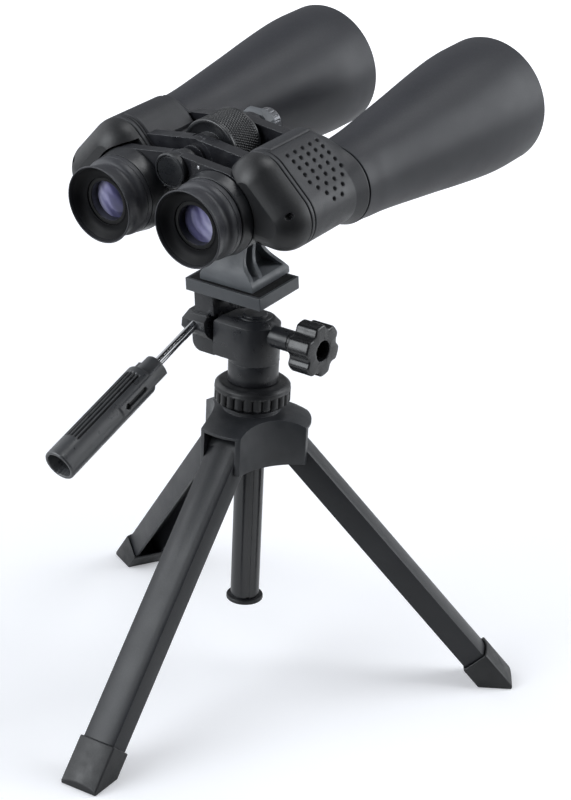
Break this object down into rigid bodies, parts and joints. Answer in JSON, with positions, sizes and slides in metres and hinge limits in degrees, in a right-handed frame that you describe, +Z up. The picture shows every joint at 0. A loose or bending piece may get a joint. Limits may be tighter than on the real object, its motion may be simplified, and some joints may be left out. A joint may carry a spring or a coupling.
{
  "type": "astronomy binoculars on tabletop tripod",
  "caption": "Large-aperture Porro-prism binoculars with centre focus and folding hinge, held by a tripod adapter on a pan-and-tilt head with folding table tripod.",
  "frame": {"origin": "on the table top, at the centre of the bottom of the box round the whole assembly; the tripod column stands 6.8 mm to +X and 1.8 mm to +Y of it", "axes": "+Z up, +Y the way the binoculars look, +X to the right of the person looking through them"},
  "size_m": [0.339, 0.3746, 0.4269],
  "materials": {
    "barrel_shell": "matt black coating",
    "coated_glass": "violet anti-reflection coating",
    "prism_glass": "polished",
    "retaining_ring": "black anodised",
    "body_casting": "black satin paint over die casting",
    "armour_rubber": "soft matt skin with rows of dimples",
    "cover_shell": "satin",
    "small_screws": "polished head",
    "ocular_metal": "black anodised",
    "eyecup_rubber": "matt",
    "shaft_steel": "ground",
    "wheel_metal": "knurled, black anodised",
    "adapter_casting": "dark grey satin coat",
    "bolt_knob": "fine turned",
    "head_plastic": "fine moulded grain",
    "pad_rubber": "ribbed",
    "thumb_wheel": "ribbed",
    "rod_chrome": "bright",
    "grip_plastic": "semi gloss",
    "column_metal": "black anodised tube",
    "tripod_plastic": "satin",
    "leg_metal": "satin black powder coat",
    "foot_plastic": "satin"
  },
  "bodies": {
    "crown": {"crown": "tripod_plastic", "leg_pins": "shaft_steel"},
    "leg_1": {"leg_1": "leg_metal", "foot_1": "foot_plastic"},
    "leg_2": {"leg_2": "leg_metal", "foot_2": "foot_plastic"},
    "leg_3": {"leg_3": "leg_metal", "foot_3": "foot_plastic"},
    "collar": {"lock_collar": "tripod_plastic"},
    "column": {"column": "column_metal", "column_end_cap": "column_metal", "pan_base": "head_plastic"},
    "pan": {"pan_body": "head_plastic", "pan_cap": "head_plastic"},
    "lock_knob": {"lock_knob": "grip_plastic"},
    "tilt": {"tilt_block": "head_plastic", "tilt_shaft": "shaft_steel", "platform": "head_plastic", "platform_pad": "pad_rubber", "platform_screws": "small_screws", "adapter_bracket": "adapter_casting", "hinge_shaft": "shaft_steel"},
    "handle": {"handle_rod": "rod_chrome", "handle_grip": "grip_plastic"},
    "camera_screw": {"camera_screw": "thumb_wheel"},
    "adapter_bolt": {"adapter_bolt": "bolt_knob"},
    "focus_wheel": {"focus_wheel": "wheel_metal"},
    "bridge": {"bridge_hub": "body_casting", "bridge_cap": "body_casting", "focus_screw": "shaft_steel"},
    "right_half": {"right_prism_housing": "body_casting", "right_armour": "armour_rubber", "right_rear_cover": "cover_shell", "right_cover_screws": "small_screws", "right_prisms": "prism_glass", "right_prism_shelf": "body_casting", "right_objective_barrel": "barrel_shell", "right_objective_lens": "coated_glass", "right_objective_ring": "retaining_ring"},
    "left_half": {"left_prism_housing": "body_casting", "left_armour": "armour_rubber", "left_rear_cover": "cover_shell", "left_cover_screws": "small_screws", "left_prisms": "prism_glass", "left_prism_shelf": "body_casting", "left_objective_barrel": "barrel_shell", "left_objective_lens": "coated_glass", "left_objective_ring": "retaining_ring"},
    "right_arm": {"right_eyepiece_arm": "body_casting"},
    "left_arm": {"left_eyepiece_arm": "body_casting", "left_ocular": "ocular_metal", "left_eye_lenses": "coated_glass", "left_eyecup": "eyecup_rubber"},
    "right_ocular": {"right_ocular": "ocular_metal", "right_eye_lenses": "coated_glass", "right_eyecup": "eyecup_rubber"},
    "dioptre": {"dioptre_ring": "ocular_metal"}
  },
  "joints": [
    {"name": "leg_1_fold", "type": "hinge", "parent": "crown", "child": "leg_1", "pos_m": [0.00882, -0.02313, 0.1767], "axis": [0.9966, 0.0819, 0], "range_deg": [0, 39]},
    {"name": "leg_2_fold", "type": "hinge", "parent": "crown", "child": "leg_2", "pos_m": [0.02732, 0.01602, 0.1767], "axis": [-0.5693, 0.8221, 0], "range_deg": [0, 39]},
    {"name": "leg_3_fold", "type": "hinge", "parent": "crown", "child": "leg_3", "pos_m": [-0.01583, 0.01247, 0.1767], "axis": [-0.4274, -0.9041, 0], "range_deg": [0, 39]},
    {"name": "collar_turn", "type": "hinge", "parent": "crown", "child": "collar", "pos_m": [0.00677, 0.00179, 0.21], "axis": [0, 0, 1], "range_deg": [-30, 90]},
    {"name": "column_lift", "type": "slide", "parent": "crown", "child": "column", "axis": [0, 0, 1], "range_m": [0, 0.09]},
    {"name": "pan_turn", "type": "hinge", "parent": "column", "child": "pan", "pos_m": [0.00677, 0.00179, 0.2317], "axis": [0, 0, 1], "continuous": true},
    {"name": "tilt_nod", "type": "hinge", "parent": "pan", "child": "tilt", "pos_m": [0.00677, 0.00179, 0.2517], "axis": [1, 0, 0], "range_deg": [-36.8, 23.2]},
    {"name": "lock_turn", "type": "hinge", "parent": "pan", "child": "lock_knob", "pos_m": [0.04677, 0.00179, 0.2517], "axis": [1, 0, 0], "range_deg": [-180, 180]},
    {"name": "handle_turn", "type": "hinge", "parent": "tilt", "child": "handle", "pos_m": [-0.02723, -0.01741, 0.2533], "axis": [0, -0.9166, -0.3997], "range_deg": [-180, 180]},
    {"name": "camera_screw_turn", "type": "hinge", "parent": "tilt", "child": "camera_screw", "pos_m": [-0.00493, 0.00286, 0.27227], "axis": [0, -0.1182, 0.993], "range_deg": [-180, 180]},
    {"name": "adapter_bolt_turn", "type": "hinge", "parent": "tilt", "child": "adapter_bolt", "pos_m": [-0.00493, 0.01654, 0.38404], "axis": [0, 0.993, 0.1182], "range_deg": [-180, 180]},
    {"name": "right_interpupillary", "type": "hinge", "parent": "tilt", "child": "right_half", "pos_m": [-0.00493, -0.02616, 0.37896], "axis": [0, 0.993, 0.1182], "range_deg": [-6.2, 14.4]},
    {"name": "left_interpupillary", "type": "hinge", "parent": "tilt", "child": "left_half", "pos_m": [-0.00493, -0.02616, 0.37896], "axis": [0, 0.993, 0.1182], "range_deg": [-14.4, 6.2]},
    {"name": "focus_turn", "type": "hinge", "parent": "tilt", "child": "focus_wheel", "pos_m": [-0.00493, -0.02616, 0.37896], "axis": [0, 0.993, 0.1182], "range_deg": [-180, 180]},
    {"name": "bridge_travel", "type": "slide", "parent": "tilt", "child": "bridge", "axis": [0, 0.993, 0.1182], "range_m": [-0.0035, 0.0035]},
    {"name": "right_arm_travel", "type": "slide", "parent": "right_half", "child": "right_arm", "axis": [0, 0.993, 0.1182], "range_m": [-0.0035, 0.0035]},
    {"name": "left_arm_travel", "type": "slide", "parent": "left_half", "child": "left_arm", "axis": [0, 0.993, 0.1182], "range_m": [-0.0035, 0.0035]},
    {"name": "dioptre_travel", "type": "slide", "parent": "right_arm", "child": "right_ocular", "axis": [0, 0.993, 0.1182], "range_m": [-0.0015, 0.0015]},
    {"name": "dioptre_turn", "type": "hinge", "parent": "right_ocular", "child": "dioptre", "pos_m": [0.02967, -0.0744, 0.35277], "axis": [0, 0.993, 0.1182], "range_deg": [-60, 60]}
  ],
  "couplings": [
    {"joint": "bridge_travel", "follows": "focus_turn", "m_per_rad": 0.0011141},
    {"joint": "right_arm_travel", "follows": "focus_turn", "m_per_rad": 0.0011141},
    {"joint": "left_arm_travel", "follows": "focus_turn", "m_per_rad": 0.0011141},
    {"joint": "dioptre_travel", "follows": "dioptre_turn", "m_per_rad": 0.0014323}
  ]
}
